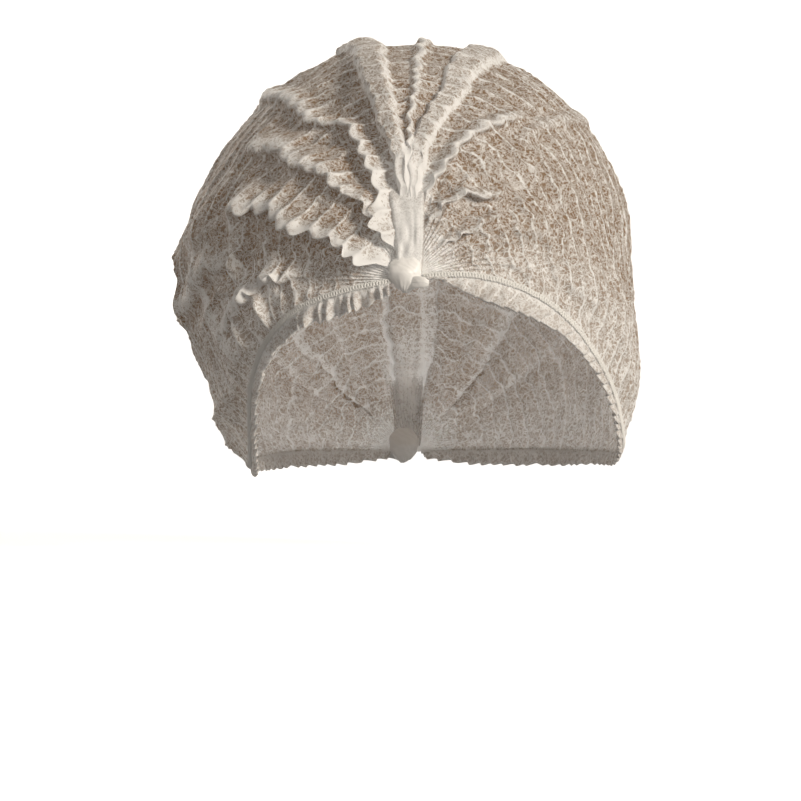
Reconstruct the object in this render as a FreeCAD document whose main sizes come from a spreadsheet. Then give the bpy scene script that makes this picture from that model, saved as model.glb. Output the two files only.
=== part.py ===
"""Disposable crimped mob cap, opened to its worn shape, in millimetres.

One sheet of spunbonded polypropylene is folded into long pleats, gathered along both hems by
an elastic, and fused across both ends. Opened out, the pleat folds run like meridians from
the front weld to the rear weld, and the two hems are the sides of the mouth.

Every piece is modelled in the weld frame: Z runs through both welds towards the front, X
points up through the crown and Y points to the wearer's right. WORN_TILT then turns the
finished piece to the row frame: X to the wearer's left, Y to the back and Z up, with the
origin midway between the two welds. Each side of the mouth swings about the line through
the welds, so nothing on one side crosses that line or the middle plane.
"""

import FreeCAD, Part
import math
import os
import re

from FreeCAD import Placement, Rotation, Vector

SIDES = {"left": -1, "right": 1}
PANELS_PER_SIDE = 9
STILL_PANELS = 2  # this many on each side of the middle stay still when the mouth swings

# name, value, what it is
SIZES = [
    ("half_width", 104.0, "half of the dome's width across the temples"),
    ("half_height", 116.0, "half of the whole egg's height, of which the dome is the top"),
    ("egg_lift", 30.0, "the egg's middle above the line of the welds"),
    ("weld_reach", 107.0, "from the middle of that line to either weld"),
    ("axis_tilt", 20.0, "the rear weld sits lower than the front one, degrees"),
    ("sheet_thick", 0.6, "one layer of crimped sheet, loft included"),
    ("nest_step", 1.3, "how far the side panels sit inside the centre ones"),
    ("fold_step", 11.5, "from one pleat fold to the next, degrees round the ellipse"),
    ("tool_reach", 400.0, "size of the solids that only cut"),
    ("weld_radius", 5.5, "the round bundle that the pleats are fused into"),
    ("weld_inside", 7.0, "how far the bundle reaches inside the cap"),
    ("weld_outside", 3.2, "how far it stands out of the cap"),
    ("weld_gap", 1.2, "round the bundle, where the sides swing"),
    ("weld_chamfer", 1.6, "worn edge of the bundle"),
    ("gather_wide", 8.0, "the column of packed pleats above a weld"),
    ("gather_top", 34.0, "how far the packed pleats reach up from a weld"),
    ("gather_thick", 2.0, "the packed pleats' thickness"),
    ("tail_long", 9.0, "cut end of the strip beyond the weld"),
    ("tail_wide", 5.0, "the cut end's width"),
    ("tail_thick", 1.4, "the cut end's thickness"),
    ("tail_round", 0.6, "the cut end's rounded edges"),
    ("centre_pleat_at", 6.0, "angle of the standing pleats from the middle, degrees"),
    ("centre_pleat_end", 38.0, "they stop this far from the weld line"),
    ("temple_pleat_at", 45.0, "angle of the standing pleat over the temple, degrees"),
    ("brow_pleat_at", 62.0, "angle of the standing pleat over the brow, degrees"),
    ("brow_pleat_end", 12.0, "these two stop this far from the weld line"),
    ("brow_pleat_back", 30.0, "and this far in front of the middle"),
    ("pleat_wide", 0.9, "a standing pleat's thickness, degrees"),
    ("pleat_stand", 5.0, "how far a standing pleat stands proud"),
    ("ruffle_drop", 9.0, "the ruffle's depth below the elastic"),
    ("ruffle_thick", 1.2, "both layers of the folded hem"),
    ("hem_end", 148.0, "where the hem stops below a weld, degrees from the crown"),
    ("elastic_wide", 2.2, "the flat elastic's width"),
    ("elastic_thick", 0.8, "the flat elastic's thickness"),
    ("elastic_lift", 0.4, "the elastic's lower edge above the ruffle"),
    ("stitch_long", 3.4, "a stitch over the elastic"),
    ("stitch_wide", 0.6, "a stitch's thread"),
    ("stitch_thick", 0.4, "a stitch's height above the elastic"),
    ("stitch_pitch", 5.4, "from one stitch to the next, one to a crimp"),
    ("rim_brow_back", 17.0, "the rim over the brow, back from the front weld"),
    ("rim_brow_up", 1.5, "and above the weld line"),
    ("rim_temple_back", 35.0, "the rim at the temple"),
    ("rim_temple_up", -10.0, "and above the weld line"),
    ("rim_cheek_back", 59.0, "the rim in front of the ear"),
    ("rim_cheek_up", -28.0, "and above the weld line"),
    ("rim_ear_back", 97.0, "the rim under the ear"),
    ("rim_ear_up", -38.0, "and above the weld line"),
    ("rim_nape_back", 162.0, "the rim at the side of the nape"),
    ("rim_nape_up", -22.0, "and above the weld line"),
]

SIZE_NAMES = re.compile(r"\b(" + "|".join(name for name, _, _ in SIZES) + r")\b")

doc = FreeCAD.newDocument("MobCap")
sizes = doc.addObject("Spreadsheet::Sheet", "Sizes")
kept = []


def fill_sheet():
    """Puts the driving dimensions in the sheet, each with its alias and what it is."""
    for row, (name, value, meaning) in enumerate(SIZES, start=1):
        sizes.set(f"A{row}", name)
        sizes.set(f"B{row}", str(value))
        sizes.setAlias(f"B{row}", name)
        sizes.set(f"C{row}", meaning)
    doc.recompute()


def size(name):
    """A driving dimension's value, for the code that needs the number itself."""
    return float(sizes.get(name))


def bind(item, **expressions):
    """Binds an object's properties to the sheet. A size's name stands for its cell."""
    for prop, text in expressions.items():
        item.setExpression(prop.replace("__", "."), SIZE_NAMES.sub(r"Sizes.\g<0>", text))
    return item


def keep(item, label):
    """Marks a finished piece: its label names its file, and it is turned to the row frame."""
    item.Label = label
    item.Placement = WORN_TILT.multiply(item.Placement)
    kept.append(item)
    return item


def egg(name, grow):
    """The ellipsoid that the dome is part of, grown by a few tenths of a millimetre."""
    item = doc.addObject("Part::Ellipsoid", name)
    item.Placement.Base = Vector(1, 0, 0)
    return bind(
        item,
        Radius1=f"weld_reach / sqrt(1 - (egg_lift / half_height) ^ 2) + {grow}",
        Radius2=f"half_height + {grow}",
        Radius3=f"half_width + {grow}",
        Placement__Base__x="egg_lift",
    )


def cut(name, base, tool):
    item = doc.addObject("Part::Cut", name)
    item.Base, item.Tool = base, tool
    return item


def common(name, *shapes):
    item = doc.addObject("Part::MultiCommon", name)
    item.Shapes = list(shapes)
    return item


def shell(name, outside, inside):
    """A closed skin between two offsets of the cap's ellipsoid."""
    return cut(name, egg(f"{name}_out", outside), egg(f"{name}_in", inside))


def fold_angle(fold):
    """The polar angle of a pleat fold, counted from the crown, as an expression."""
    turn = f"({fold} * fold_step)"
    top = "(egg_lift + half_height)"
    return f"(atan2(half_width * sin{turn}; {top} * cos{turn}) / 1 deg)"


def sector(name, start, sweep, hand):
    """A slice of pie round the weld line, from start over sweep, on one side."""
    item = doc.addObject("Part::Cylinder", name)
    item.Placement.Base = Vector(0, 0, -size("tool_reach") / 2)
    item.Placement.Rotation = Rotation(Vector(0, 0, 1), 1)
    turn = start if hand > 0 else f"360 - ({start}) - ({sweep})"
    return bind(
        item,
        Radius="tool_reach",
        Height="tool_reach",
        Angle=sweep,
        Placement__Rotation__Angle=turn,
    )


def rod(name, radius):
    """A round tool along the weld line."""
    item = doc.addObject("Part::Cylinder", name)
    item.Placement.Base = Vector(0, 0, -size("tool_reach") / 2)
    return bind(item, Radius=radius, Height="tool_reach")


def block(name, length, width, height, corner):
    """A box whose sizes are expressions, with its lowest corner at a point."""
    item = doc.addObject("Part::Box", name)
    item.Placement.Base = corner
    return bind(item, Length=length, Width=width, Height=height)


def rim_points():
    """The rim in the middle plane, as (forward, up), from the front weld to the rear one."""
    front = size("weld_reach")
    stops = ("brow", "temple", "cheek", "ear", "nape")
    inner = [(front - size(f"rim_{s}_back"), size(f"rim_{s}_up")) for s in stops]
    return [(front, 0.0), *inner, (-front, 0.0)]


def rim_curve():
    curve = Part.BSplineCurve()
    curve.interpolate([Vector(up, 0, ahead) for ahead, up in rim_points()])
    return curve


def over_rim(name, lift):
    """All that lies above the rim once the rim is lifted. Its lower side is the rim curve."""
    lean = Vector(lift * math.cos(RIM_LEAN), 0, -lift * math.sin(RIM_LEAN))
    start, end = Vector(0, 0, size("weld_reach")), Vector(0, 0, -size("weld_reach"))
    far = size("tool_reach") / 2
    corners = [
        end,
        Vector(0, 0, -far),
        Vector(far, 0, -far),
        Vector(far, 0, far),
        Vector(0, 0, far),
        start,
    ]
    edges = [rim_curve().toShape()]
    edges += [Part.LineSegment(a, b).toShape() for a, b in zip(corners, corners[1:])]
    outline = doc.addObject("Part::Feature", f"{name}_outline")
    outline.Shape = Part.Face(Part.Wire(edges))
    outline.Placement.Base = lean - Vector(0, far, 0)
    item = doc.addObject("Part::Extrusion", name)
    item.Base = outline
    item.DirMode = "Custom"
    item.Dir = Vector(0, 1, 0)
    item.Solid = True
    return bind(item, LengthFwd="tool_reach")


def rim_band(name, hand, outside, inside, high, low):
    """A band of skin along one side's rim, between two lifts of the rim."""
    skin = shell(f"{name}_skin", outside, inside)
    band = cut(f"{name}_band", over_rim(f"{name}_low", low), over_rim(f"{name}_high", high))
    pie = sector(f"{name}_pie", "70", "hem_end - 70", hand)
    strip = common(f"{name}_strip", skin, band, pie)
    return cut(name, strip, rod(f"{name}_eye", "weld_radius + weld_gap"))


def panels():
    """The sheet between one pleat fold and the next, numbered down from the crown.

    The panels that swing with the mouth are tucked just under the ones that stay still.
    """
    still = shell("crown_skin", "0", "0 - sheet_thick")
    still = cut("crown_open", still, rod("crown_eye", "weld_radius"))
    swung = shell("side_skin", "0 - nest_step", "0 - nest_step - sheet_thick")
    swung = cut("side_open", swung, rod("side_eye", "weld_radius + weld_gap"))
    swung = common("side_web", swung, over_rim("side_rim", 0.0))
    for side, hand in SIDES.items():
        for number in range(1, PANELS_PER_SIDE + 1):
            start = fold_angle(number - 1)
            end = fold_angle(number) if number < PANELS_PER_SIDE else "hem_end"
            pie = sector(f"{side}_pie_{number}", start, f"{end} - {start}", hand)
            skin = still if number <= STILL_PANELS else swung
            keep(common(f"{side}_gore_{number}", skin, pie), f"{side}_panel_{number}")


def hems():
    """The ruffle and the elastic of each hem."""
    ruffle_in = "0 - nest_step - ruffle_thick / 2 - sheet_thick / 2"
    ruffle_out = "0 - nest_step + ruffle_thick / 2 - sheet_thick / 2"
    elastic_in = f"0 - nest_step + {SKIN_GAP}"
    lift, wide = size("elastic_lift"), size("elastic_wide")
    for side, hand in SIDES.items():
        ruffle = rim_band(
            f"{side}_ruffle_body", hand, ruffle_out, ruffle_in, 0.0, -size("ruffle_drop")
        )
        keep(ruffle, f"{side}_ruffle")
        elastic = rim_band(
            f"{side}_elastic_body",
            hand,
            f"{elastic_in} + elastic_thick",
            elastic_in,
            lift + wide,
            lift,
        )
        keep(elastic, f"{side}_elastic")


def on_cap(ahead, up, grow):
    """A point of the grown egg on the wearer's right, and its outward normal there."""
    height = size("half_height") + grow
    width = size("half_width") + grow
    slimming = math.sqrt(1 - (size("egg_lift") / size("half_height")) ** 2)
    length = size("weld_reach") / slimming + grow
    rise = up - size("egg_lift")
    across = width * math.sqrt(max(0.0, 1 - (ahead / length) ** 2 - (rise / height) ** 2))
    place = Vector(up, across, ahead)
    normal = Vector(rise / height**2, across / width**2, ahead / length**2)
    return place, normal.normalize()


def stitches():
    """A row of needle-thread stitches over each elastic, one for every crimp of the hem."""
    lift = size("elastic_lift") + size("elastic_wide") / 2
    grow = -size("nest_step") + SKIN_GAP + size("elastic_thick") + SKIN_GAP
    curve = rim_curve()
    count = int(curve.length() / size("stitch_pitch") * HEM_SWELL)
    long, wide = size("stitch_long"), size("stitch_wide")
    bars = []
    for step in range(count + 1):
        share = (step + 0.5) / (count + 1)
        turn = math.pi * share
        along = curve.value(
            curve.FirstParameter
            + (curve.LastParameter - curve.FirstParameter) * (1 - math.cos(turn)) / 2
        )
        up = along.x + lift * math.cos(RIM_LEAN)
        ahead = along.z - lift * math.sin(RIM_LEAN)
        if math.hypot(up, on_cap(ahead, up, grow)[0].y) < STITCH_CLEAR:
            continue
        place, normal = on_cap(ahead, up, grow)
        further, _ = on_cap(ahead - 0.5, up, grow)
        down = normal.cross(further - place).normalize()
        forth = down.cross(normal)
        bar = Part.makeBox(wide, long, size("stitch_thick"), Vector(-wide / 2, -long / 2, 0))
        turned = Rotation(forth, down, normal, "ZXY")
        bar.Placement = Placement(place, turned)
        bars.append(bar)
    row = Part.makeCompound(bars)
    for side, hand in SIDES.items():
        item = doc.addObject("Part::Feature", f"{side}_stitch_row")
        flipped = row.mirror(Vector(0, 0, 0), Vector(0, 1, 0))
        item.Shape = row if hand > 0 else flipped
        keep(item, f"{side}_stitches")


def standing_pleats():
    """Pleats that stay closed and stand up: two over the crown, two over the right brow."""
    high = shell("centre_pleat_skin", "pleat_stand", SKIN_GAP)
    low = shell("brow_pleat_skin", "pleat_stand - nest_step", f"{SKIN_GAP} - nest_step")
    crown = cut("centre_pleat_ring", high, rod("centre_pleat_eye", "centre_pleat_end"))
    brow = cut("brow_pleat_open", low, rod("brow_pleat_eye", "brow_pleat_end"))
    reach = size("tool_reach")
    corner = Vector(-reach / 2, -reach / 2, size("brow_pleat_back"))
    ahead = block("brow_ahead", "tool_reach", "tool_reach", "tool_reach", corner)
    brow = common("brow_pleat_ring", brow, ahead)
    for side, part, ring in (
        ("left", "centre", crown),
        ("right", "centre", crown),
        ("right", "temple", brow),
        ("right", "brow", brow),
    ):
        name = f"{side}_{part}_pleat"
        pie = sector(f"{name}_pie", f"{part}_pleat_at", "pleat_wide", SIDES[side])
        keep(common(f"{name}_fin", ring, pie), name)


def gathers():
    """The packed pleats that run up out of each weld, lying on the centre panels."""
    skin = shell("gather_skin", f"gather_thick + {SKIN_GAP}", SKIN_GAP)
    skin = cut("gather_open", skin, rod("gather_eye", "weld_radius"))
    skin = common("gather_disc", skin, rod("gather_edge", "gather_top"))
    reach = size("tool_reach")
    for label, start in (("front_gather", 0.0), ("rear_gather", -reach)):
        corner = Vector(0, -size("gather_wide") / 2, start)
        slot = block(f"{label}_slot", "tool_reach", "gather_wide", "tool_reach", corner)
        keep(common(f"{label}_body", skin, slot), label)


def origin_plane(body, role):
    return next(f for f in body.Origin.OriginFeatures if f.Role == role)


def closed_outline(sketch, points, names):
    """Draws a closed outline from straight lines and binds each corner to the sheet."""
    import Sketcher

    loop = points + points[:1]
    for start, end in zip(loop, loop[1:]):
        sketch.addGeometry(Part.LineSegment(Vector(*start, 0), Vector(*end, 0)), False)
    count = len(points)
    for i in range(count):
        sketch.addConstraint(Sketcher.Constraint("Coincident", i, 2, (i + 1) % count, 1))
    for i, (point, pair) in enumerate(zip(points, names)):
        for kind, value, text in zip(("DistanceX", "DistanceY"), point, pair):
            spot = sketch.addConstraint(Sketcher.Constraint(kind, -1, 1, i, 1, value))
            if text:
                sketch.renameConstraint(spot, f"corner_{i}_{kind}")
                bind(sketch, **{f"Constraints__corner_{i}_{kind}": text})


def welds():
    """The round bundle at each end: all the pleats pinched together and fused."""
    for label, flip in (("front_weld", 0), ("rear_weld", 180)):
        body = doc.addObject("PartDesign::Body", f"{label}_body")
        sketch = body.newObject("Sketcher::SketchObject", f"{label}_outline")
        sketch.AttachmentSupport = [(origin_plane(body, "XZ_Plane"), "")]
        sketch.MapMode = "FlatFace"
        radius, inside, outside = size("weld_radius"), -size("weld_inside"), size("weld_outside")
        closed_outline(
            sketch,
            [(0.0, inside), (radius, inside), (radius, outside), (0.0, outside)],
            [
                (None, "0 - weld_inside"),
                ("weld_radius", "0 - weld_inside"),
                ("weld_radius", "weld_outside"),
                (None, "weld_outside"),
            ],
        )
        doc.recompute()
        spin = body.newObject("PartDesign::Revolution", f"{label}_spin")
        spin.Profile = sketch
        spin.ReferenceAxis = (origin_plane(body, "Z_Axis"), [""])
        spin.Angle = 360.0
        doc.recompute()
        rims = [
            f"Edge{i}"
            for i, e in enumerate(spin.Shape.Edges, start=1)
            if isinstance(e.Curve, Part.Circle)
        ]
        worn = body.newObject("PartDesign::Chamfer", f"{label}_chamfer")
        worn.Base = (spin, rims)
        bind(worn, Size="weld_chamfer")
        body.Tip = worn
        turn = Rotation(Vector(1, 0, 0), flip)
        body.Placement = Placement(turn.multVec(Vector(0, 0, size("weld_reach"))), turn)
        keep(body, label)


def tails():
    """The strip's cut end, which sticks out of each weld and flops to one side."""
    for label, flip in (("front_tail", 0), ("rear_tail", 180)):
        body = doc.addObject("PartDesign::Body", f"{label}_body")
        sketch = body.newObject("Sketcher::SketchObject", f"{label}_outline")
        sketch.AttachmentSupport = [(origin_plane(body, "XY_Plane"), "")]
        sketch.MapMode = "FlatFace"
        long, wide = size("tail_long"), size("tail_wide") / 2
        closed_outline(
            sketch,
            [(-wide, 0.0), (wide, 0.0), (wide, -long), (-wide, -long)],
            [
                ("0 - tail_wide / 2", None),
                ("tail_wide / 2", None),
                ("tail_wide / 2", "0 - tail_long"),
                ("0 - tail_wide / 2", "0 - tail_long"),
            ],
        )
        doc.recompute()
        pad = body.newObject("PartDesign::Pad", f"{label}_pad")
        pad.Profile = sketch
        bind(pad, Length="tail_thick")
        doc.recompute()
        edges = [
            f"Edge{i}"
            for i, e in enumerate(pad.Shape.Edges, start=1)
            if abs(e.BoundBox.ZLength - size("tail_thick")) < 1e-6
        ]
        soft = body.newObject("PartDesign::Fillet", f"{label}_round")
        soft.Base = (pad, edges)
        bind(soft, Radius="tail_round")
        body.Tip = soft
        lift = size("weld_reach") + size("weld_outside")
        turn = Rotation(Vector(1, 0, 0), flip)
        body.Placement = Placement(turn.multVec(Vector(0, 0, lift)), turn)
        keep(body, label)


def report_and_write():
    """Stops on any failed object or shape, prints each piece and writes its STEP file."""
    doc.recompute()
    for item in doc.Objects:
        if {"Invalid", "Error"} & set(item.State):
            raise RuntimeError(f"{item.Label} failed: {item.State}")
    os.makedirs("parts", exist_ok=True)
    for item in kept:
        shape = item.Shape
        if shape.isNull() or not shape.isValid() or shape.Volume <= 0:
            raise RuntimeError(f"{item.Label} has no sound shape")
        box = shape.BoundBox
        print(
            f"{item.Label:22s} solids {len(shape.Solids):3d}  volume {shape.Volume:9.1f}"
            f"  box {box.XLength:6.1f} {box.YLength:6.1f} {box.ZLength:6.1f}"
        )
        shape.exportStep(f"parts/{item.Label}.step")


fill_sheet()

RIM_LEAN = math.radians(20.0)  # hem bands are shifted this much forward of straight down
SKIN_GAP = 0.05  # between one layer of the hem and the next
HEM_SWELL = 1.2  # the hem bulges sideways, so it is longer than its side view
STITCH_CLEAR = 9.0  # no stitches this near the weld line

lean = math.radians(size("axis_tilt"))
WORN_TILT = Placement(
    Vector(0, 0, 0),
    Rotation(
        Vector(0, math.sin(lean), math.cos(lean)),
        Vector(-1, 0, 0),
        Vector(0, -math.cos(lean), math.sin(lean)),
        "ZXY",
    ),
)

panels()
hems()
stitches()
standing_pleats()
gathers()
welds()
tails()
report_and_write()
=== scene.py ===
# %% [markdown]
# # A disposable pleated mob cap
#
# The real cap is one rectangle of spunbonded sheet, so thin that it shows what is behind it.
# It is crimped, folded into long pleats, fused across both ends and sewn to an elastic along
# both edges. Pulled open it becomes a dome. The folds run from the front weld to the rear
# weld like lines of longitude, and the crimps cross them like lines of latitude.
#
# The lesson builds that sheet as flat grids and lays them on the dome, fold by fold, then adds
# the frills, the elastics, their stitches and the welds.

import math
from collections import namedtuple

import bmesh
import bpy
import numpy as np
from mathutils import Matrix, Vector


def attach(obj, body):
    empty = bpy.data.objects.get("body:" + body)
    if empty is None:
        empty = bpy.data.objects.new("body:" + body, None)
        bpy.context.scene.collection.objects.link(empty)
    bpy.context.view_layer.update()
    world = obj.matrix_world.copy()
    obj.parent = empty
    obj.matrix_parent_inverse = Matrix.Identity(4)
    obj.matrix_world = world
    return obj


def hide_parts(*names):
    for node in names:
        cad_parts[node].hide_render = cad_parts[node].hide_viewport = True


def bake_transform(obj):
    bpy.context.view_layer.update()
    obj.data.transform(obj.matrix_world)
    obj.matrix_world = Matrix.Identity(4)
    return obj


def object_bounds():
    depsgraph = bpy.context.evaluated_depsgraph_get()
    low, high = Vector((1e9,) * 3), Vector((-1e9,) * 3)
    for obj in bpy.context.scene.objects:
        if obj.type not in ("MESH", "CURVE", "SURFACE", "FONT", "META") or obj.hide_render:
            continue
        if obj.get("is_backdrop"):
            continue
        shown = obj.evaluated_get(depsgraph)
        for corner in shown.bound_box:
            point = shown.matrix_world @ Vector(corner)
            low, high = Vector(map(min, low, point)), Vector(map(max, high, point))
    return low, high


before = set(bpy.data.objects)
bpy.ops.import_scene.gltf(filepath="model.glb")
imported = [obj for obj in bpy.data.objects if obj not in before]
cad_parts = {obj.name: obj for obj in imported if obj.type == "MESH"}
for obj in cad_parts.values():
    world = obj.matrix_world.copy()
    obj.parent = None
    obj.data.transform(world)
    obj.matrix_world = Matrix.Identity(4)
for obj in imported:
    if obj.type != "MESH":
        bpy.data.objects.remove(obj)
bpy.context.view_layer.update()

# %% [markdown]
# ## The dome
#
# The CAD dome is the top of an egg whose middle sits above the line that joins the welds.
# Every fold lies in a plane through that line. So a point of the sheet is given by two
# angles: `turn` says which plane, from 0 at the crown to about 90 degrees at the mouth, with
# plus to the wearer's left, and `travel` says how far along it, from 0 at the front weld to
# 180 degrees at the rear one. Looking out from the middle of the weld line in that direction,
# the egg's surface is met exactly once, which makes the mapping simple and smooth.

# %% The egg, as the CAD has it
HALF_WIDTH, HALF_HEIGHT, EGG_LIFT, WELD_REACH = 0.104, 0.116, 0.030, 0.107
HALF_LENGTH = WELD_REACH / math.sqrt(1 - (EGG_LIFT / HALF_HEIGHT) ** 2)
TILT = math.radians(20)
AHEAD = np.array([0.0, -math.cos(TILT), math.sin(TILT)])
UP = np.array([0.0, math.sin(TILT), math.cos(TILT)])
LEFT = np.array([1.0, 0.0, 0.0])


def row_frame(ahead, up, left):
    """Points given along the weld line, up and to the left, turned to the row's own axes."""
    return ahead[..., None] * AHEAD + up[..., None] * UP + left[..., None] * LEFT


def egg(turn, travel):
    """Points of the plain dome and the way out of it there."""
    ahead, rest = np.cos(travel), np.sin(travel)
    up, left = rest * np.cos(turn), rest * np.sin(turn)
    square = (up / HALF_HEIGHT) ** 2 + (left / HALF_WIDTH) ** 2 + (ahead / HALF_LENGTH) ** 2
    lean = up * EGG_LIFT / HALF_HEIGHT**2
    gap = (EGG_LIFT / HALF_HEIGHT) ** 2 - 1
    reach = (lean + np.sqrt(lean**2 - square * gap)) / square
    ahead, up, left = ahead * reach, up * reach, left * reach
    outward = row_frame(
        ahead / HALF_LENGTH**2, (up - EGG_LIFT) / HALF_HEIGHT**2, left / HALF_WIDTH**2
    )
    outward /= np.linalg.norm(outward, axis=-1, keepdims=True)
    return row_frame(ahead, up, left), outward


print("dome", round(2 * HALF_LENGTH * 1000), "mm long along the weld line")

# %% [markdown]
# ## The rim
#
# The elastic pulls the rim up over the brow and lets it drop in front of the ears. The cap
# is worn askew, so the two sides differ: on the wearer's right the rim starts lower and the
# sheet above it hangs over. For each side, a few turns against travel say where the rim
# runs, joined by an easy curve.

# %% Where the rims run
RIMS = {
    "left": [
        (0, 80),
        (10, 83),
        (25, 89),
        (37, 95),
        (48, 101),
        (60, 106),
        (77, 111),
        (95, 111),
        (121, 104),
        (150, 96),
        (180, 90),
    ],
    "right": [
        (0, 98),
        (15, 98),
        (26, 99),
        (37, 103),
        (49, 108),
        (70, 116),
        (90, 117),
        (121, 107),
        (150, 97),
        (180, 90),
    ],
}


def smooth_through(points, at):
    """An even curve through (x, y) points: cubic pieces that share slopes at the points."""
    xs, ys = (np.array(c, dtype=float) for c in zip(*points))
    slopes = np.gradient(ys, xs)
    i = np.clip(np.searchsorted(xs, at) - 1, 0, len(xs) - 2)
    width = xs[i + 1] - xs[i]
    f = (at - xs[i]) / width
    return (
        (2 * f**3 - 3 * f**2 + 1) * ys[i]
        + (f**3 - 2 * f**2 + f) * width * slopes[i]
        + (3 * f**2 - 2 * f**3) * ys[i + 1]
        + (f**3 - f**2) * width * slopes[i + 1]
    )


def rim_turn(side, travel):
    """The turn at which the sheet ends, in radians, for each travel."""
    return np.radians(smooth_through(RIMS[side], np.degrees(travel)))


def ease(value, start, end):
    """0 before start, 1 after end, and smooth between."""
    f = np.clip((value - start) / (end - start), 0, 1)
    return f * f * (3 - 2 * f)


print("left rim turn at the ear", round(float(np.degrees(rim_turn("left", 1.5))), 1))

# %% [markdown]
# ## Unevenness
#
# Nothing on a worn cap repeats exactly. A small value noise gives every line a wander and
# every fold its own depth. It is written here with numpy so that it works on whole grids at
# once, and its seed is fixed, so that each run gives the same cap.

# %% Noise on grids
rng = np.random.default_rng(7)
LATTICE = rng.uniform(-1, 1, (64, 64))


def wander(x, y, seed=0):
    """Smooth noise between about -1 and 1, one bump to each whole step of x and y."""
    x, y = np.broadcast_arrays(x + 17.3 * seed, y + 5.7 * seed)
    ix, iy = np.floor(x).astype(int), np.floor(y).astype(int)
    fx, fy = x - ix, y - iy
    fx, fy = fx**3 * (fx * (6 * fx - 15) + 10), fy**3 * (fy * (6 * fy - 15) + 10)
    corner = [LATTICE[(ix + a) % 64, (iy + b) % 64] for a in (0, 1) for b in (0, 1)]
    low = corner[0] * (1 - fy) + corner[1] * fy
    high = corner[2] * (1 - fy) + corner[3] * fy
    return low * (1 - fx) + high * fx


print("noise ranges over", round(float(LATTICE.min()), 2), "to", round(float(LATTICE.max()), 2))

# %% [markdown]
# ## The folds that stand up
#
# Most pleats are pulled nearly flat by the head, but some stay closed. Such a pleat stands up
# from the dome as a ridge, and it flops over to one side. A ridge is a bump across the
# sheet. Pushing its crest outwards makes it stand, and pushing the crest sideways as well
# makes it overhang, so one formula gives both. The crimps open up along a crest, which is
# free to move, and turn it into a frill. A pleat that was pressed flat has a flat top with
# two bright edges.

# %% A table of standing folds
# Along folds give (travel, turn) points in degrees and run away from the weld. Across folds
# give (turn, travel) points and run round it. wide is half the ridge in degrees. stand, flop
# (towards the mouth) and swing (of the crimps at the crest) are mm. flat is the share of the
# ridge that its flat top takes, and white is how much fibre its crest gathers.
Fold = namedtuple("Fold", "side kind path wide stand flop swing flat white")
BROW = [(3, 42), (12, 44), (20, 49), (30, 53), (42, 55), (52, 58)]
SECOND = [(5, 20), (17, 20), (24, 29), (33, 35.5), (45, 37), (60, 42)]
ZIGZAG = [(8, 17), (23, 14.5), (31, 16.5), (38, 19), (42, 24), (50, 27), (66, 28.5), (84, 31)]
LEFT_BAND = [(14, 2), (22, 3), (35, 5.6), (43, 6.6), (54, 7.8), (70, 8.8), (98, 8)]
CENTRE = [(18, 0.6), (31, 1.0), (38, 1.8), (54, 2.6), (71, 3.2), (110, 3)]
RIGHT_BAND = [(12, 3), (20, 4), (28, 5.8), (35, 8), (43, 10.5), (52, 12.5), (66, 14), (80, 14)]
SLANT = [(16, 10), (20, 10.5), (26, 13), (31, 17), (36, 20), (41, 23.5), (52, 30)]
SMALL = [(9, 18), (17, 20), (22, 27), (25, 36), (33, 46)]
LOWER = [(7, 36), (13, 40), (19, 46), (27, 52)]
CORNER = [(54, 50), (64, 45), (76, 44), (88, 39), (102, 36)]
FLAP = [(66, 36), (76, 33), (86, 34), (98, 30)]
CURL = [(60, 58), (74, 55), (86, 50), (104, 46)]
LOW = [(24, 78), (36, 80), (50, 86), (62, 92)]
BAG = [(60, 66), (78, 60), (96, 55), (108, 52)]
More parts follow.
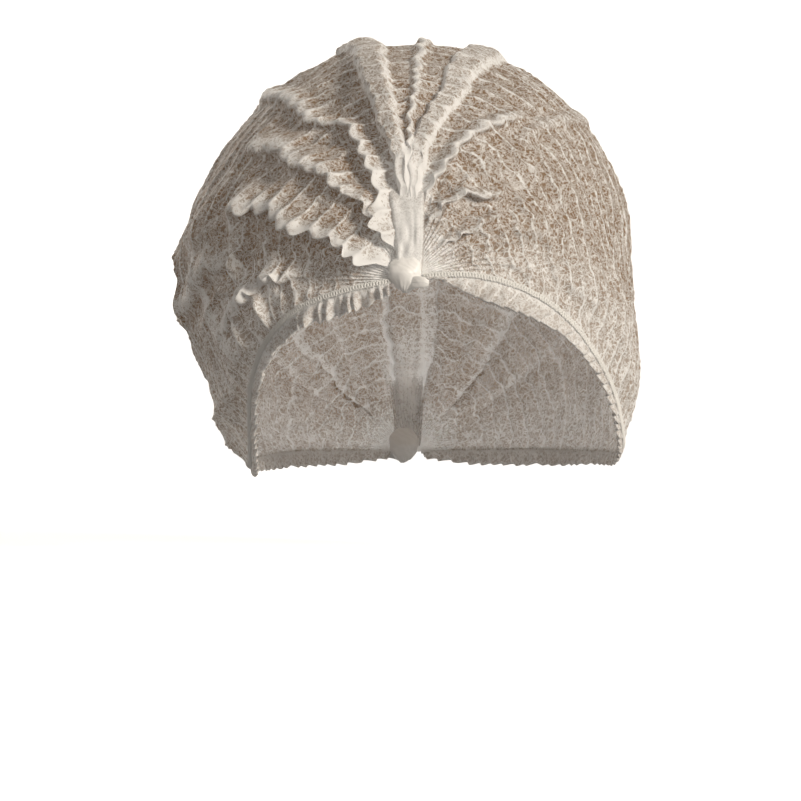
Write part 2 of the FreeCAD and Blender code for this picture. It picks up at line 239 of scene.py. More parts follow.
FOLDS = [
    Fold("right", "along", BROW, 7.0, 7.4, 9.0, 1.7, 0.0, 0.6),
    Fold("right", "along", SECOND, 6.5, 5.6, 5.6, 1.4, 0.0, 0.45),
    Fold("right", "along", ZIGZAG, 4.0, 4.0, 2.5, 1.3, 0.0, 0.5),
    Fold("right", "along", LEFT_BAND, 4.2, 4.2, 0.8, 0.7, 0.45, 0.55),
    Fold("left", "along", CENTRE, 2.2, 3.1, -0.6, 1.2, 0.0, 0.6),
    Fold("left", "along", RIGHT_BAND, 4.0, 2.8, -1.0, 0.3, 0.5, 0.7),
    Fold("left", "along", SLANT, 3.6, 4.0, 2.4, 1.4, 0.0, 0.6),
    Fold("left", "along", SMALL, 5.0, 4.2, 4.4, 1.6, 0.0, 0.6),
    Fold("left", "along", LOWER, 5.0, 3.0, 3.0, 1.2, 0.0, 0.4),
    Fold("right", "across", CORNER, 4.5, 3.8, 2.5, 0.9, 0.0, 0.2),
    Fold("right", "across", FLAP, 3.6, 2.8, -2.0, 0.8, 0.0, 0.2),
    Fold("right", "across", CURL, 4.5, 3.2, -2.0, 1.0, 0.0, 0.15),
    Fold("right", "along", LOW, 5.0, 4.0, 3.0, 1.2, 0.0, 0.5),
    Fold("right", "across", BAG, 5.0, 3.0, -1.0, 0.2, 0.0, 0.3),
    Fold("right", "along", [(44, 70), (60, 74), (86, 76)], 5.0, 4.0, 3.0, 1.2, 0.0, 0.4),
    Fold("left", "along", [(40, 34), (90, 36), (150, 34)], 3.0, 1.6, 0.6, 0.6, 0.0, 0.2),
    Fold("left", "along", [(84, 56), (120, 57), (165, 56)], 4.0, 1.6, 0.6, 0.5, 0.0, 0.2),
    Fold("left", "along", [(100, 6), (135, 7), (172, 12)], 4.0, 3.4, 1.0, 0.5, 0.4, 0.5),
    Fold("right", "along", [(104, 9), (140, 8), (172, 12)], 3.6, 3.6, -0.8, 0.8, 0.0, 0.5),
    Fold("right", "along", [(112, 44), (146, 42), (172, 36)], 5.0, 3.6, 2.4, 1.2, 0.0, 0.4),
    Fold("left", "along", [(118, 34), (146, 36), (170, 40)], 5.0, 3.2, 2.0, 1.2, 0.0, 0.4),
    Fold("right", "along", [(92, 30), (120, 31), (165, 30)], 4.0, 2.0, 0.6, 0.6, 0.0, 0.2),
    Fold("right", "along", [(100, 54), (130, 54), (166, 53)], 4.0, 2.4, 0.8, 0.6, 0.0, 0.2),
]
CRIMPS = 46
PLEATS_PER_SIDE = 22
print("standing folds:", len(FOLDS), "crimps:", CRIMPS, "pleats a side:", PLEATS_PER_SIDE)


def crimp_phase(share, travel):
    """How many crimps from the front weld a point is. The lines wander a little."""
    along = travel / math.pi
    phase = CRIMPS * along + 0.42 * wander(7 * share, CRIMPS * along / 3, 1)
    return phase + 0.22 * wander(23 * share, CRIMPS * along / 1.5, 2)


def crest(phase, sharpness=2.2):
    """A crimp's profile: 1 on its sharp crest, 0 in the rounded hollow between two."""
    return (1 - np.abs(np.sin(math.pi * phase))) ** sharpness


def sheet_point(side, share, travel, lift=0.0):
    """Where the worn sheet lies, and how far it is doubled in a standing fold there.

    share is 0 at the crown and 1 at the rim.
    """
    hand = 1 if side == "left" else -1
    end = rim_turn(side, travel)
    turn = share * end
    place, outward = egg(hand * turn, travel)
    ahead_place, _ = egg(hand * (turn + 0.01), travel)
    down = ahead_place - place
    down /= np.linalg.norm(down, axis=-1, keepdims=True) + 1e-12

    free = ease(share, 1.0, 0.9) * 0.85 + 0.15
    open_out = np.sin(travel)
    phase = crimp_phase(hand * share, travel)
    uneven = 1 + 0.5 * wander(9 * hand * share, 1.3 * phase, 7)
    rise = lift + 0.0011 * uneven * crest(phase) * (0.35 + 0.65 * ease(open_out, 0.1, 0.5))

    pleat = crest(PLEATS_PER_SIDE * share + 0.35 * wander(4 * share, 5 * travel, 3), 1.6)
    depth = 0.0002 + 0.0006 * ease(open_out, 0.48, 0.12)
    rise = rise + depth * pleat * free * ease(open_out, 0.04, 0.16)
    rise = rise + 0.0022 * wander(6 * hand * share, 4 * travel, 4) * free * ease(open_out, 0.1, 0.4)
    rise = rise + 0.0009 * wander(17 * hand * share, 15 * travel, 5) * free * ease(
        open_out, 0.1, 0.4
    )
    slack = ease(share, 0.45, 0.6) * ease(open_out, 0.3, 0.7) * (hand < 0)
    ridge = (1 - np.abs(wander(9 * share + 1.5 * travel, 6 * travel, 8))) ** 4
    rise = rise + 0.0042 * slack * ridge * free
    slide = 0.0007 * wander(12 * share, 2.2 * phase, 6) * free * ease(open_out, 0.1, 0.5)
    slide = slide * ease(share, 0.0, 0.04)

    doubled = np.zeros(np.shape(turn))
    degrees = np.degrees(turn)
    degrees_along = np.degrees(travel)
    for number, fold in enumerate(FOLDS):
        same = 1 if fold.side == side else -1
        if fold.kind == "along":
            where, off, run = degrees_along, same * degrees, 8
        elif same > 0:
            where, off, run = degrees, degrees_along, 10
        else:
            continue
        first, last = fold.path[0][0], fold.path[-1][0]
        middle = smooth_through(fold.path, np.clip(where, first, last))
        middle = middle + 0.25 * fold.wide * wander(0.0, where / 7, 10 + number)
        away = np.clip((np.abs(off - middle) / fold.wide - fold.flat) / (1 - fold.flat), 0, 1)
        bump = np.cos(away * math.pi / 2) ** 2
        fade = ease(where, first, first + run) * ease(where, last, last - 1.4 * run)
        mood = 1 + 0.35 * wander(0.0, where / 9, 30 + number)
        drape = 2 * np.abs(np.sin(math.pi * phase)) ** 1.2 - 1
        drape = drape * (1 + 0.3 * wander(3 * share, phase, 40 + number))
        rise = rise + bump * fade * (fold.stand * mood + 0.3 * fold.swing * drape) / 1000
        slide = slide + same * bump * fade * (fold.flop * mood + fold.swing * drape) / 1000
        edge = ease(bump, 0.55, 0.90) if fold.flat == 0 else 0.35 + 0.65 * ease(bump, 1.0, 0.6)
        edge = edge * ease(bump, 0.0, 0.4)
        doubled = np.maximum(doubled, fold.white * fade * edge)
    place = place + rise[..., None] * outward + slide[..., None] * down
    return askew(place, share, hand, travel), doubled


# %% [markdown]
# ## Worn a little askew
#
# The cap isn't centred on its head. On the wearer's right the sheet hangs in a slack bag and
# its rim is tucked well under it, and on the left the sheet is pulled snug and full.

# %% Slack bag on one side, snug on the other
# How much wider than the even dome the worn one is, for each share.
WIDER = {
    "left": [(0, 1), (0.12, 1.02), (0.2, 1.04), (0.3, 1.03), (0.4, 1), (0.5, 0.975)],
    "right": [(0, 1), (0.1, 0.98), (0.2, 0.925), (0.28, 0.935), (0.4, 0.955), (0.5, 0.985)],
}
WIDER["left"] += [(0.6, 0.965), (0.7, 0.97), (0.8, 1), (0.9, 1.04), (1, 1.07)]
WIDER["right"] += [(0.57, 0.985), (0.63, 0.95), (0.7, 0.91)]
WIDER["right"] += [(0.78, 0.85), (0.87, 0.85), (1, 0.82)]


def askew(place, share, hand, travel):
    """Moves a point of the even cap to where the worn one has it."""
    middle = np.sin(travel) ** 2
    place = place.copy()
    side = "left" if hand > 0 else "right"
    place[..., 0] *= 1 + middle * (smooth_through(WIDER[side], share) - 1)
    if hand < 0:
        place[..., 2] -= 0.004 * middle * ease(share, 0.45, 0.72) * ease(share, 1.0, 0.82)
    return place


test_point, _ = sheet_point("left", np.array([0.5]), np.array([1.2]))
print("a point of the sheet, mm:", np.round(test_point[0] * 1000, 1))

# %% [markdown]
# ## From flat grid to worn sheet
#
# Each panel starts as a flat grid from one bmesh operator, with nine rows to a crimp. Then each
# vertex is moved to its place on the dome. The grid's own UV map goes along, stretched so that
# one unit of V is one crimp. That is what the finish reads to put the denser crest lines where
# the crests are. The columns are about half a millimetre apart, so that the overhang of a fold
# stays smooth.

# %% The grid helper
ROWS_PER_CRIMP, PANEL_COLUMNS = 9, 40
PANELS_PER_SIDE = 9
FIRST_TRAVEL = 0.042  # the sheet starts this many radians from the weld's middle
CROWN_TO_RIM = 0.19  # roughly how far round the dome the sheet goes, for the UV map


def flat_grid(name, columns, rows):
    """A flat grid object, and its vertices' two places across it, both from 0 to 1."""
    mesh = bpy.data.meshes.new(name)
    bm = bmesh.new()
    bm.loops.layers.uv.new("sheet")
    bmesh.ops.create_grid(bm, x_segments=columns, y_segments=rows, size=0.5, calc_uvs=True)
    for face in bm.faces:
        face.smooth = True
    bm.to_mesh(mesh)
    bm.free()
    piece = bpy.data.objects.new(name, mesh)
    bpy.context.collection.objects.link(piece)
    flat = np.empty(len(mesh.vertices) * 3)
    mesh.vertices.foreach_get("co", flat)
    flat = flat.reshape(-1, 3) + 0.5
    return piece, np.clip(flat[:, 0], 0, 1), np.clip(flat[:, 1], 0, 1)


def lay(piece, places, across, phase, packed):
    """Moves the grid's vertices to their places and stores what the finish reads."""
    mesh = piece.data
    mesh.vertices.foreach_set("co", places.ravel())
    corner_of = np.empty(len(mesh.loops), dtype=np.int32)
    mesh.loops.foreach_get("vertex_index", corner_of)
    layer = mesh.uv_layers["sheet"]
    layer.data.foreach_set("uv", np.column_stack([across, phase])[corner_of].ravel())
    mesh.attributes.new("packed", "FLOAT", "POINT").data.foreach_set(
        "value", np.broadcast_to(packed, across.shape).astype(np.float32)
    )
    mesh.update()
    bm = bmesh.new()
    bm.from_mesh(mesh)
    bmesh.ops.recalc_face_normals(bm, faces=bm.faces)
    bm.verts.ensure_lookup_table()
    middle = bm.verts[len(bm.verts) // 2]
    if middle.normal.dot(middle.co - Vector(UP) * EGG_LIFT) < 0:
        bmesh.ops.reverse_faces(bm, faces=bm.faces)
    bm.to_mesh(mesh)
    bm.free()


# %% [markdown]
# ## The finish of the sheet
#
# Spunbonded sheet is a mat of curly fibres, so thin that what is behind it shows between them.
# Here the thin places between the fibres are a nearly closed layer painted a warm brown: painted
# shade that stands in for the dark seen through the sheet. Where the sheet is crimped or packed
# together there are more fibres and it turns white. So the finish works out how much fibre there
# is at each point: thin curly lines from the middle values of a noise, more of them on the crest
# of each crimp, and a full cover where the sheet is packed. That cover is the shader's Alpha. A
# part of the light that falls on the fibres goes through them, which is what a Translucent shader
# does.

# %% Small node helpers
def new_finish(name):
    """An empty material and short ways to add nodes and maths to it."""
    material = bpy.data.materials.new(name)
    material.use_nodes = True
    tree = material.node_tree
    tree.nodes.clear()

    def node(kind, **settings):
        made = tree.nodes.new(kind)
        for key, value in settings.items():
            if hasattr(made, key):
                setattr(made, key, value)
            else:
                made.inputs[key.replace("_", " ")].default_value = value
        return made

    def plug(source, target):
        tree.links.new(source, target)

    def maths(kind, *values, clamp=False):
        made = node("ShaderNodeMath", operation=kind, use_clamp=clamp)
        for slot, value in zip(made.inputs, values):
            if hasattr(value, "links"):
                plug(value, slot)
            else:
                slot.default_value = value
        return made.outputs[0]

    return material, node, plug, maths


def fibres(node, plug, maths, vector, scale, thin, distortion=1.5):
    """Thin curly lines: 1 where a noise is near its middle value, 0 away from it."""
    noise = node("ShaderNodeTexNoise", Scale=scale, Detail=2.0, Distortion=distortion)
    plug(vector, noise.inputs["Vector"])
    off = maths("ABSOLUTE", maths("SUBTRACT", noise.outputs["Fac"], 0.5))
    return maths("SUBTRACT", 1.0, maths("DIVIDE", off, thin), clamp=True)


def sheet_finish(name, base_cover, tint, crest_cover=0.5, mat=0.5):
    """Fibrous sheet: white fibres over a thin layer painted a warm brown shade, through which a
    little of what is behind shows.

    base_cover is the cover of that brown-painted layer between its fibres, mat what the fibres
    add to it, and crest_cover what a crimp's crest adds.
    """
    material, node, plug, maths = new_finish(name)
    place = node("ShaderNodeTexCoord").outputs["Object"]
    uv = node("ShaderNodeUVMap", uv_map="sheet")
    split = node("ShaderNodeSeparateXYZ")
    plug(uv.outputs["UV"], split.inputs[0])
    packed = node("ShaderNodeAttribute", attribute_name="packed").outputs["Fac"]

    fine = fibres(node, plug, maths, place, 520.0, 0.075, 0.5)
    mid = fibres(node, plug, maths, place, 290.0, 0.055, 0.7)
    wide = fibres(node, plug, maths, place, 150.0, 0.020, 1.0)
    strands = maths("MAXIMUM", maths("MAXIMUM", maths("MULTIPLY", fine, 0.7), mid), wide)

    blotch = node("ShaderNodeTexNoise", Scale=90.0, Detail=3.0)
    plug(place, blotch.inputs["Vector"])
    patchy = maths("MULTIPLY", maths("SUBTRACT", blotch.outputs["Fac"], 0.5), 0.9)

    swing = node("ShaderNodeTexNoise", Scale=260.0, Detail=1.0)
    plug(place, swing.inputs["Vector"])
    jitter = maths("MULTIPLY", maths("SUBTRACT", swing.outputs["Fac"], 0.5), 0.22)
    wave = maths("FRACT", maths("ADD", split.outputs["Y"], maths("ADD", jitter, 0.5)))
    away = maths("ABSOLUTE", maths("SUBTRACT", wave, 0.5))
    line = maths("SUBTRACT", 1.0, maths("DIVIDE", away, 0.09), clamp=True)
    faint = node("ShaderNodeTexNoise", Scale=60.0, Detail=1.0)
    plug(place, faint.inputs["Vector"])
    broken = maths("MULTIPLY_ADD", faint.outputs["Fac"], 2.6, -0.45, clamp=True)
    line = maths("MULTIPLY", line, broken)

    fibre = maths("ADD", maths("MULTIPLY", strands, mat), maths("MULTIPLY", line, crest_cover))
    fibre = maths("ADD", maths("ADD", fibre, packed), maths("MULTIPLY", patchy, 0.35), clamp=True)
    # The layer between the fibres, its cover set by base_cover, carries the painted brown shade.
    shade_film = maths("ADD", base_cover, maths("MULTIPLY", patchy, 0.3))
    cover = maths("ADD", shade_film, maths("MULTIPLY", fibre, maths("SUBTRACT", 1.0, shade_film)), clamp=True)

    # Painted shade: where there is little fibre the colour runs to a warm brown, and the fibres are
    # white.
    tone = node("ShaderNodeValToRGB")
    tone.color_ramp.elements[0].color = (*THIN_PLACE_SHADE, 1)
    tone.color_ramp.elements[1].color = (*tint, 1)
    tone.color_ramp.elements[1].position = 0.85
    plug(fibre, tone.inputs["Fac"])

    cloth = node("ShaderNodeBsdfPrincipled", Roughness=0.62)
    plug(tone.outputs["Color"], cloth.inputs["Base Color"])
    cloth.inputs["Specular IOR Level"].default_value = 0.35
    cloth.inputs["Sheen Weight"].default_value = 0.15
    bump = node("ShaderNodeBump", Strength=0.6, Distance=0.0004)
    plug(fibre, bump.inputs["Height"])
    plug(bump.outputs["Normal"], cloth.inputs["Normal"])
    through = node("ShaderNodeBsdfTranslucent")
    plug(tone.outputs["Color"], through.inputs["Color"])
    both = node("ShaderNodeMixShader", Fac=THROUGH)
    plug(cloth.outputs[0], both.inputs[1])
    plug(through.outputs[0], both.inputs[2])
    gone = node("ShaderNodeBsdfTransparent")
    seen = node("ShaderNodeMixShader")
    plug(cover, seen.inputs["Fac"])
    plug(gone.outputs[0], seen.inputs[1])
    plug(both.outputs[0], seen.inputs[2])
    plug(seen.outputs[0], node("ShaderNodeOutputMaterial").inputs["Surface"])
    return material


# A fibre is white, and a thin place between fibres is painted a warm brown shade that stands in
# for the dark seen through the sheet. THROUGH is the part of the light that goes through the
# fibres.
THIN_PLACE_SHADE, THROUGH = (0.25, 0.155, 0.082), 0.20
WHITE = (0.93, 0.935, 0.94)
SHEET = sheet_finish("spunbonded_sheet", 0.90, WHITE, crest_cover=0.6, mat=0.72)
FRILL = sheet_finish("doubled_hem_sheet", 0.86, WHITE, crest_cover=0.35, mat=0.5)
print("finishes:", SHEET.name, FRILL.name)

# %% [markdown]
# ## The panels
#
# One grid for each panel between folds.


def swing_with(piece):
    """Bakes the piece's placement into its mesh."""
    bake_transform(piece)


def pole_packing(share, travel):
    """How tightly the sheet is packed: full at the welds, nothing out in the open."""
    open_out = np.sin(travel)
    column = 0.7 * ease(open_out, 0.56, 0.28) * ease(share, 0.22, 0.08)
    return np.maximum(0.8 * ease(open_out, 0.30, 0.06), column)


def make_panel(side, number):
    """The sheet from one fold to the next, counted down from the crown."""
    low, high = (number - 1) / PANELS_PER_SIDE, number / PANELS_PER_SIDE
    name = f"{side}_panel_{number}_sheet"
    piece, across, along = flat_grid(name, PANEL_COLUMNS, CRIMPS * ROWS_PER_CRIMP)
    share = low + across * (high - low)
    travel = FIRST_TRAVEL + along * (math.pi - 2 * FIRST_TRAVEL)
    hand = 1 if side == "left" else -1
    places, doubled = sheet_point(side, share, travel)
    phase = crimp_phase(hand * share, travel)
    rim_packing = 0.22 * ease(share, 0.60, 0.92) + 0.2 * ease(share, 0.965, 1.0)
    packed = np.maximum(pole_packing(share, travel), rim_packing) + doubled
    lay(piece, places, share * CROWN_TO_RIM, phase, packed)
    piece.data.materials.append(SHEET)
    return piece


STANDING = {
    ("left", 1): ["left_centre_pleat"],
    ("right", 1): ["right_centre_pleat"],
    ("right", 4): ["right_temple_pleat"],
    ("right", 6): ["right_brow_pleat"],
}
for side in ("left", "right"):
    for number in range(1, PANELS_PER_SIDE + 1):
        piece = make_panel(side, number)
        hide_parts(f"{side}_panel_{number}", *STANDING.get((side, number), []))
        swing_with(piece)
print("panels:", 2 * PANELS_PER_SIDE, "faces each:", len(piece.data.polygons))

# %% [markdown]
# ## The hem's own frame
#
# Everything on the hem follows the rim: the frill below it, the elastic on it, the stitches
# over it. So one helper gives, for each travel, the rim's place and three directions there:
# along the rim, out of the cap and down, past the edge of the sheet.

# %% Along the rim
def rim_frame(side, travel):
    """The rim's places, and the ways along it, out of it and down from it."""
    ones = np.ones_like(travel)
    step = 0.01
    here, _ = plain_point(side, ones, travel)
    after, _ = plain_point(side, ones, travel + step)
    above, _ = plain_point(side, ones * 0.96, travel)
    along = after - here
    along /= np.linalg.norm(along, axis=-1, keepdims=True)
    down = here - above
    down -= (down * along).sum(-1, keepdims=True) * along
    down /= np.linalg.norm(down, axis=-1, keepdims=True)
    out = np.cross(along, down)
    out *= np.sign((out * (here - UP * EGG_LIFT)).sum(-1, keepdims=True))
    return here, along, out, down


def plain_point(side, share, travel):
    """The worn sheet without its crimps and folds."""
    hand = 1 if side == "left" else -1
    place, outward = egg(hand * share * rim_turn(side, travel), travel)
    return askew(place, share, hand, travel), outward


rim_length = {}
for side in ("left", "right"):
    trace = rim_frame(side, np.linspace(FIRST_TRAVEL, math.pi - FIRST_TRAVEL, 400))[0]
    rim_length[side] = float(np.linalg.norm(np.diff(trace, axis=0), axis=1).sum())
print("rims, mm:", {side: round(1000 * far) for side, far in rim_length.items()})

# %% [markdown]
# ## The frills
#
# The folded edge of the sheet sticks out beyond the elastic. The elastic has drawn it
# together, so it stands in small knife pleats: each pleat lies over the next, and its lower
# corner makes one tooth of the edge. A grid makes the front layer, the fold at the edge and
# the back layer in one go. A sawtooth along it pushes each pleat out and drags its corner
# down and back.

# %% Frill
# (travel in degrees, depth in mm) points for each side.
FRILL_DEEP = {
    "left": [(0, 2), (7, 2), (12, 6.4), (50, 6), (75, 5), (120, 6), (166, 6), (180, 2)],
    "right": [(0, 4), (9, 8), (40, 8), (58, 6), (75, 5), (120, 6), (166, 6), (180, 2)],
}
FRILL_LAYER = 0.0009
FRILL_ROWS, ROWS_PER_TOOTH = 26, 14


def frill_point(side, share, travel):
    """share runs down the front layer from 0 to a half, and up the back one to 1."""
    here, along, out, down = rim_frame(side, travel)
    fall = 1 - np.abs(2 * share - 1)
    back = ease(share, 0.4, 0.6)
    deep = smooth_through(FRILL_DEEP[side], np.degrees(travel)) / 1000
    slack = ease(np.degrees(travel), 60, 20) if side == "right" else 0.0 * travel
    lean = 0.55 * fall
    phase = CRIMPS * 1.1 * travel / math.pi + 0.25 * wander(0.0, 9 * travel, 50) + lean
    phase = phase + 0.12 * wander(2 * fall, 40 * travel, 51)
    tooth = phase - np.floor(phase)
    rise = np.where(tooth < 0.66, tooth / 0.66, (1 - tooth) / 0.34)
    rise = rise * rise * (3 - 2 * rise)
    flute = 1.4 * phase - 1.4 * lean + 0.3 * wander(0.0, phase, 55)
    flute = 0.5 - 0.5 * np.cos(2 * math.pi * flute)
    rise = rise + slack * (flute - rise)
    mood = 1 + 0.4 * wander(0.0, 16 * travel, 52)
    sharp = ease(np.degrees(travel), 100, 70)
    puff = (0.0012 + 0.0010 * sharp + 0.0008 * slack) * mood * rise * ease(fall, 0.0, 0.7)
    puff = puff + 0.0022 * slack * wander(0.5 * fall, 30 * travel, 53) * fall
    teeth = (0.04 + 0.10 * sharp + 0.08 * slack) * (rise - 0.5) * ease(fall, 0.3, 1.0)
    reach = deep * fall * (1 + teeth)
    reach = reach * (1 + 0.08 * wander(0.0, 12 * travel, 54))
    sway = 0.0012 * fall * (rise - 0.5) * mood * (1 - 0.6 * slack)
    flare = 0.004 * slack * fall**1.5
    place = here + (reach - 0.0006)[..., None] * down
    place = place + (puff + flare - FRILL_LAYER * back + 0.0009)[..., None] * out
    return place + sway[..., None] * along, phase


def make_frill(side):
    """One side's frill, as one grid folded back on itself at its lower edge."""
    rows = CRIMPS * ROWS_PER_TOOTH
    piece, across, along = flat_grid(f"{side}_frill", FRILL_ROWS, rows)
    travel = FIRST_TRAVEL + 0.03 + along * (math.pi - 2 * FIRST_TRAVEL - 0.06)
    places, phase = frill_point(side, across, travel)
    fall = 1 - np.abs(2 * across - 1)
    packed = 0.45 + 0.3 * ease(fall, 0.35, 0.0) + 0.3 * ease(fall, 0.88, 1.0)
    lay(piece, places, 0.02 * across, phase, packed)
    piece.data.materials.append(FRILL)
    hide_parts(f"{side}_ruffle")
    return piece


frills = {side: make_frill(side) for side in ("left", "right")}
for side, piece in frills.items():
    swing_with(piece)
print("frill faces:", len(frills["left"].data.polygons))

# %% [markdown]
# ## Elastic and stitches
#
# The elastic is three covered strands side by side, under the needle threads. A thread zigzags
# over them from one edge to the other, a second one runs the other way, and the two cross like
# a plait. A thread is a curve with a round bevel, turned into a mesh.

# %% Threads
def along_curve(name, places, radius, finish):
    """A round thread through places."""
    data = bpy.data.curves.new(name, "CURVE")
    data.dimensions = "3D"
    data.resolution_u = 2
    line = data.splines.new("NURBS")
    line.points.add(len(places) - 1)
    line.points.foreach_set("co", np.column_stack([places, np.ones(len(places))]).ravel())
    line.order_u = 3
    line.use_endpoint_u = True
    data.bevel_depth = radius
    data.bevel_resolution = 1
    data.use_fill_caps = True
    holder = bpy.data.objects.new(name, data)
    mesh = bpy.data.meshes.new_from_object(holder)
    mesh.name = name
    bpy.data.objects.remove(holder)
    for face in mesh.polygons:
        face.use_smooth = True
    piece = bpy.data.objects.new(name, mesh)
    bpy.context.collection.objects.link(piece)
    piece.data.materials.append(finish)
    return piece


def joined(name, pieces):
    """One piece out of several, with their meshes merged by bmesh."""
    bm = bmesh.new()
    for piece in pieces:
        bm.from_mesh(piece.data)
    mesh = bpy.data.meshes.new(name)
    bm.to_mesh(mesh)
    bm.free()
    mesh.materials.append(pieces[0].data.materials[0])
    whole = bpy.data.objects.new(name, mesh)
    bpy.context.collection.objects.link(whole)
    for piece in pieces:
        bpy.data.objects.remove(piece)
    return whole


def thread_finish(name, tint, twist):
    """Spun thread: fine slanting ridges, a little fuzz and no gloss."""
    material, node, plug, maths = new_finish(name)
    place = node("ShaderNodeTexCoord").outputs["Object"]
    ply = node("ShaderNodeTexWave", Scale=twist, Distortion=3.0, Detail=2.0)
    plug(place, ply.inputs["Vector"])
    fuzz = node("ShaderNodeTexNoise", Scale=2500.0, Detail=3.0)
    plug(place, fuzz.inputs["Vector"])
    high = maths("ADD", maths("MULTIPLY", ply.outputs["Fac"], 0.6), fuzz.outputs["Fac"])
    tone = node("ShaderNodeValToRGB")
    tone.color_ramp.elements[0].color = (*[0.82 * c for c in tint], 1)
    tone.color_ramp.elements[1].color = (*tint, 1)
    plug(maths("MULTIPLY", high, 0.7), tone.inputs["Fac"])
    yarn = node("ShaderNodeBsdfPrincipled", Roughness=0.7)
    yarn.inputs["Sheen Weight"].default_value = 0.2
    plug(tone.outputs["Color"], yarn.inputs["Base Color"])
    bump = node("ShaderNodeBump", Strength=0.6, Distance=0.0002)
    plug(high, bump.inputs["Height"])
    plug(bump.outputs["Normal"], yarn.inputs["Normal"])
    plug(yarn.outputs[0], node("ShaderNodeOutputMaterial").inputs["Surface"])
    return material


COTTON = thread_finish("needle_thread", (0.96, 0.96, 0.95), 900)
COVERED = thread_finish("covered_elastic", (0.93, 0.93, 0.91), 1400)
STITCHES_PER_RIM = 128


def rim_line(side, travel, high, proud):
    """Places beside the rim: high above its edge, proud of the sheet."""
    here, along, out, down = rim_frame(side, travel)
    return here - high[..., None] * down + proud[..., None] * out


def make_elastic(side):
    """Three covered strands side by side, drawn up between the stitches."""
    travel = np.linspace(FIRST_TRAVEL + 0.02, math.pi - FIRST_TRAVEL - 0.02, 3 * STITCHES_PER_RIM)
    beat = np.sin(2 * math.pi * STITCHES_PER_RIM * np.arange(len(travel)) / len(travel))
    strands = []
    for number, high in enumerate((0.0002, 0.0009, 0.0016)):
        places = rim_line(side, travel, high + 0.0001 * beat, 0.0012 + 0.0001 * beat)
        strands.append(along_curve(f"strand_{number}", places, 0.00042, COVERED))
    piece = joined(f"{side}_elastic_band", strands)
    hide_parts(f"{side}_elastic")
    return piece


def make_stitches(side):
    """Two threads that zigzag over the elastic and cross each other."""
    count = 4 * STITCHES_PER_RIM
    turns = np.arange(count) / 4
    travel = FIRST_TRAVEL + 0.03 + (math.pi - 2 * FIRST_TRAVEL - 0.06) * np.arange(count) / count
    threads = []
    for number, start in enumerate((0.0, 0.5)):
        swing = np.sin(2 * math.pi * (turns + start))
        bow = np.abs(np.cos(2 * math.pi * (turns + start)))
        high = 0.0009 + 0.0016 * swing + 0.0003 * wander(0.0, 40 * travel, 60 + number)
        places = rim_line(side, travel, high, 0.0011 + 0.0008 * bow)
        threads.append(along_curve(f"thread_{number}", places, 0.00030, COTTON))
    piece = joined(f"{side}_hem_thread", threads)
    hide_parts(f"{side}_stitches")
    return piece


for side in ("left", "right"):
    for piece in (make_elastic(side), make_stitches(side)):
        swing_with(piece)
        print(piece.name, "faces", len(piece.data.polygons))

# %% [markdown]
# ## Welds, gathers and tails
#
# Where all pleats come together, the layers are pinched and fused. Above the pinch they stand
# side by side in a white column before they fan out. The bundle itself is a lump with the
# folds still showing in its skin, and the strip's cut end sticks out of it and curls.

# %% The fused finish
def fused_finish():
    """Layers melted together: white, waxy and faintly clear, with fine flow lines."""
    material, node, plug, maths = new_finish("fused_layers")
    place = node("ShaderNodeTexCoord").outputs["Object"]
    flow = node("ShaderNodeTexWave", Scale=170.0, Distortion=9.0, Detail=3.0)
    flow.bands_direction = "DIAGONAL"
    plug(place, flow.inputs["Vector"])
    grain = node("ShaderNodeTexNoise", Scale=900.0, Detail=4.0)
    plug(place, grain.inputs["Vector"])
    high = maths("ADD", maths("MULTIPLY", flow.outputs["Fac"], 0.8), grain.outputs["Fac"])
    tone = node("ShaderNodeValToRGB")
    tone.color_ramp.elements[0].color = (0.88, 0.88, 0.875, 1)
    tone.color_ramp.elements[1].color = (0.97, 0.97, 0.97, 1)
    plug(maths("MULTIPLY", high, 0.6), tone.inputs["Fac"])
    wax = node("ShaderNodeBsdfPrincipled", Roughness=0.42)
    plug(tone.outputs["Color"], wax.inputs["Base Color"])
    bump = node("ShaderNodeBump", Strength=0.18, Distance=0.0003)
    plug(high, bump.inputs["Height"])
    plug(bump.outputs["Normal"], wax.inputs["Normal"])
    plug(wax.outputs[0], node("ShaderNodeOutputMaterial").inputs["Surface"])
    return material


FUSED = fused_finish()
PACKED = sheet_finish("packed_pleats", 0.02, WHITE, crest_cover=0.05, mat=0.25)
print("finishes:", FUSED.name, PACKED.name)

# %% Gathers
GATHER_HIGH, GATHER_FOLDS = 0.038, 3


